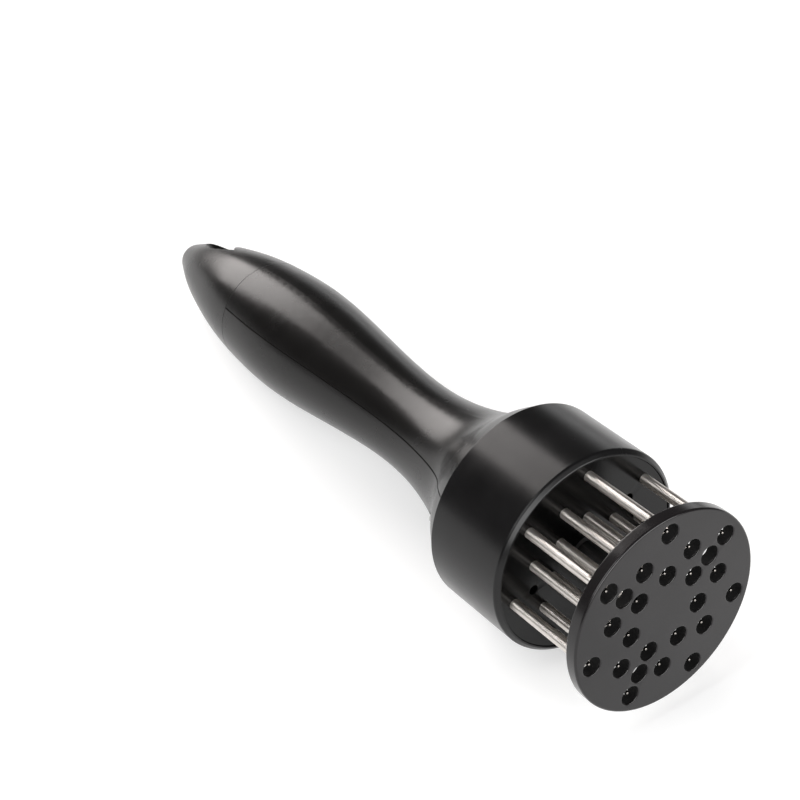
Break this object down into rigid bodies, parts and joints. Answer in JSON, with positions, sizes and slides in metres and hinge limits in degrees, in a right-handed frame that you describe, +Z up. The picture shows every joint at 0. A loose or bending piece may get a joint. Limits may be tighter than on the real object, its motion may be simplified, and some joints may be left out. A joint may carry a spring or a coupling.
{
  "type": "needle meat tenderizer",
  "caption": "Hand-held needle meat tenderizer: bulb handle, round head with a bed of steel needles, and a sprung guard disc that slides back over them.",
  "frame": {"origin": "on the table, under the middle of the part's bounding box as it lies on its side", "axes": "+Z up. The guard disc points to +X and the end of the handle to -X. The tool's axis dips by 5.74 degrees towards the handle, because the head's rear edge and the belly of the handle touch the table."},
  "size_m": [0.1914, 0.0484, 0.0524],
  "materials": {
    "disc_black": "moulded ABS, satin gloss",
    "plate_black": "moulded ABS, polished",
    "head_black": "moulded ABS, fine satin gloss",
    "handle_black": "moulded ABS, gloss",
    "cap_black": "moulded ABS, gloss",
    "stem_black": "black coated steel rod",
    "needle_steel": "polished stainless steel",
    "spring_steel": "drawn stainless wire and strip",
    "washer_steel": "stamped stainless sheet",
    "fastener_steel": "zinc-plated steel",
    "bush_acetal": "black acetal",
    "seal_rubber": "moulded nitrile rubber"
  },
  "bodies": {
    "handle_body": {"plunger_spring": "spring_steel", "spring_seat_washer": "washer_steel", "guide_bush": "bush_acetal", "bumper_ring": "seal_rubber", "needle_plate": "plate_black", "backing_plate": "washer_steel", "plate_seal_ring": "seal_rubber", "base_screws": "fastener_steel", "needle_01": "needle_steel", "needle_02": "needle_steel", "needle_03": "needle_steel", "needle_04": "needle_steel", "needle_05": "needle_steel", "needle_06": "needle_steel", "needle_07": "needle_steel", "needle_08": "needle_steel", "needle_09": "needle_steel", "needle_10": "needle_steel", "needle_11": "needle_steel", "needle_12": "needle_steel", "needle_13": "needle_steel", "needle_14": "needle_steel", "needle_15": "needle_steel", "needle_16": "needle_steel", "needle_17": "needle_steel", "needle_18": "needle_steel", "needle_19": "needle_steel", "needle_20": "needle_steel", "needle_21": "needle_steel", "head_cup": "head_black", "handle_shell_upper": "handle_black", "handle_shell_lower": "handle_black", "handle_screws": "fastener_steel", "handle_end_cap": "cap_black"},
    "guard": {"guard_disc": "disc_black", "plunger_stem": "stem_black", "stem_cross_pin": "fastener_steel", "stem_clip": "spring_steel", "thrust_washer": "washer_steel"}
  },
  "joints": [
    {"name": "guard_slide", "type": "slide", "parent": "handle_body", "child": "guard", "axis": [-0.995, 0, -0.1], "range_m": [0, 0.018], "stiffness_N_per_m": 1230, "springref_m": -0.006, "deforming": ["plunger_spring"]}
  ]
}
